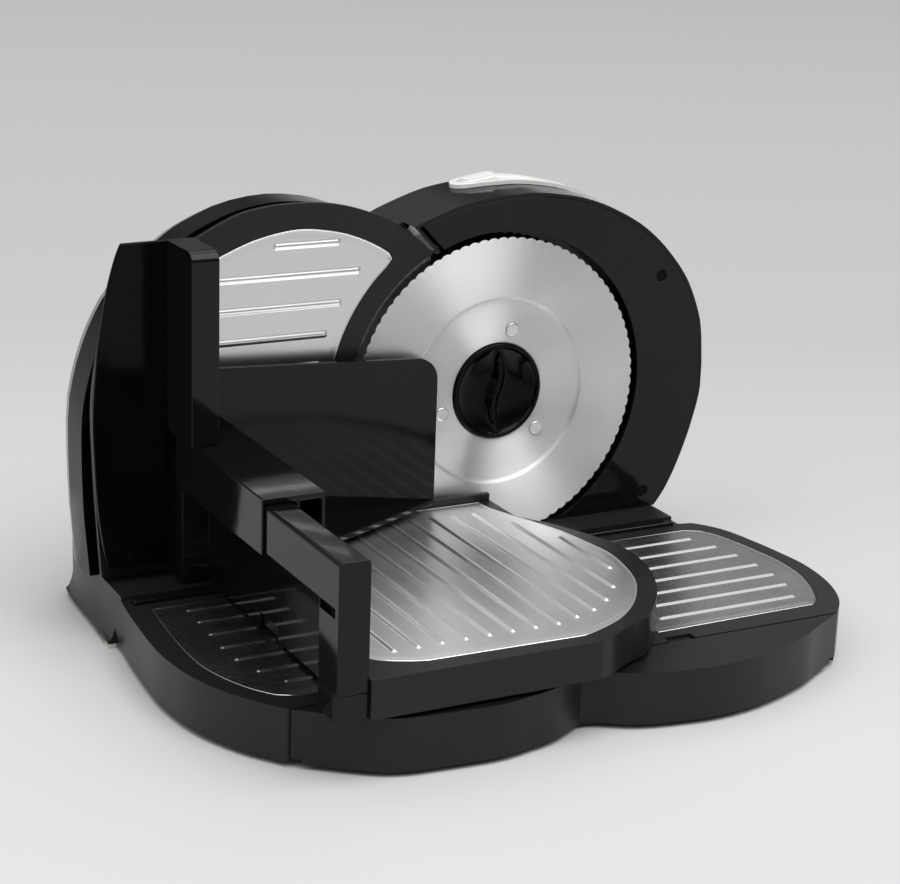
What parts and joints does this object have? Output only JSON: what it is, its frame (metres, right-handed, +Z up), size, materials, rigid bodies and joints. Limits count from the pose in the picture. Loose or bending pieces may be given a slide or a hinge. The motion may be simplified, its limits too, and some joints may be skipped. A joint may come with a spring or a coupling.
{
  "type": "electric food slicer",
  "caption": "Electric food slicer with a serrated round blade, a sliding food carriage with pusher, a thickness gauge and ribbed steel tray inlays.",
  "frame": {"origin": "middle of the footprint, on the table that the rubber feet stand on", "axes": "+X towards the motor housing, along the carriage travel; +Y away from the user, along the blade axle towards the back; +Z up"},
  "size_m": [0.405, 0.318, 0.2497],
  "materials": {
    "black_gloss": "black injection-moulded plastic, semi-gloss with soft edge highlights",
    "black_satin": "black plastic with a fine matt grain",
    "steel": "brushed stainless steel",
    "dark_steel": "dark zinc-plated steel",
    "rubber": "soft black rubber",
    "white_gloss": "glossy warm white plastic",
    "nylon": "natural nylon, matt",
    "sheet_grey": "pressed sheet with a thin grey coat",
    "brass": "turned brass, unlacquered"
  },
  "bodies": {
    "frame": {"base_rear": "black_gloss", "base_front": "black_gloss", "bottom_plate": "black_satin", "bottom_screw_1": "dark_steel", "bottom_screw_2": "dark_steel", "bottom_screw_3": "dark_steel", "bottom_screw_4": "dark_steel", "bottom_screw_5": "dark_steel", "bottom_screw_6": "dark_steel", "foot_1": "rubber", "foot_2": "rubber", "foot_3": "rubber", "foot_4": "rubber", "tray_inlay_left": "steel", "tray_inlay_right": "steel", "skirt_pad": "nylon", "guide_rail": "black_gloss", "motor_housing": "black_gloss", "blade_guard": "black_gloss", "guard_screw_1": "dark_steel", "guard_screw_2": "dark_steel", "motor_rear_cover": "black_gloss", "cord_inlet": "rubber", "switch_trim": "white_gloss", "switch_body": "nylon", "blade_axle": "steel", "motor_mount": "sheet_grey", "motor_can": "dark_steel", "left_housing": "black_gloss", "rod_bush_1": "brass", "rod_bush_2": "brass"},
    "carriage": {"carriage_tray": "black_gloss", "carriage_inlay": "steel", "carriage_frame": "black_gloss", "pusher_rail": "black_gloss", "slide_shoe_1": "nylon", "slide_shoe_2": "nylon"},
    "pusher": {"pusher_block": "black_gloss", "hand_grip": "black_gloss", "finger_shield": "black_gloss", "pusher_plate": "black_gloss", "pusher_brace": "black_gloss"},
    "gauge": {"gauge_plate": "black_gloss", "gauge_inlay": "steel", "gauge_strip": "dark_steel", "gauge_rod_1": "steel", "gauge_rod_2": "steel", "gauge_follower": "nylon"},
    "dial": {"thickness_dial": "black_satin"},
    "blade": {"blade": "steel", "blade_gear": "nylon", "blade_rivet_1": "steel", "blade_rivet_2": "steel", "blade_rivet_3": "steel"},
    "knob": {"centre_knob": "black_gloss"},
    "motor": {"motor_armature": "brass"},
    "button": {"power_button": "white_gloss"}
  },
  "joints": [
    {"name": "carriage_slide", "type": "slide", "parent": "frame", "child": "carriage", "axis": [1, 0, 0], "range_m": [-0.035, 0.118]},
    {"name": "pusher_slide", "type": "slide", "parent": "carriage", "child": "pusher", "axis": [0, 1, 0], "range_m": [-0.088, 0]},
    {"name": "gauge_slide", "type": "slide", "parent": "frame", "child": "gauge", "axis": [0, 1, 0], "range_m": [-0.002, 0.008]},
    {"name": "dial_turn", "type": "hinge", "parent": "frame", "child": "dial", "pos_m": [-0.12508, 0.13397, 0.12912], "axis": [0, 1, 0], "range_deg": [-36, 144]},
    {"name": "blade_spin", "type": "hinge", "parent": "frame", "child": "blade", "pos_m": [0.05552, 0.09397, 0.123], "axis": [0, 1, 0], "continuous": true},
    {"name": "motor_spin", "type": "hinge", "parent": "frame", "child": "motor", "pos_m": [0.08552, 0.10597, 0.0827], "axis": [1, 0, 0], "continuous": true},
    {"name": "knob_turn", "type": "hinge", "parent": "blade", "child": "knob", "pos_m": [0.05552, 0.07397, 0.123], "axis": [0, 1, 0], "range_deg": [0, 90]},
    {"name": "button_press", "type": "slide", "parent": "frame", "child": "button", "axis": [0.1392, 0, -0.9903], "range_m": [0, 0.0025], "stiffness_N_per_m": 800, "springref_m": -0.0005}
  ],
  "couplings": [
    {"joint": "dial_turn", "follows": "gauge_slide", "rad_per_m": 314.16},
    {"joint": "motor_spin", "follows": "blade_spin", "ratio": 12}
  ]
}
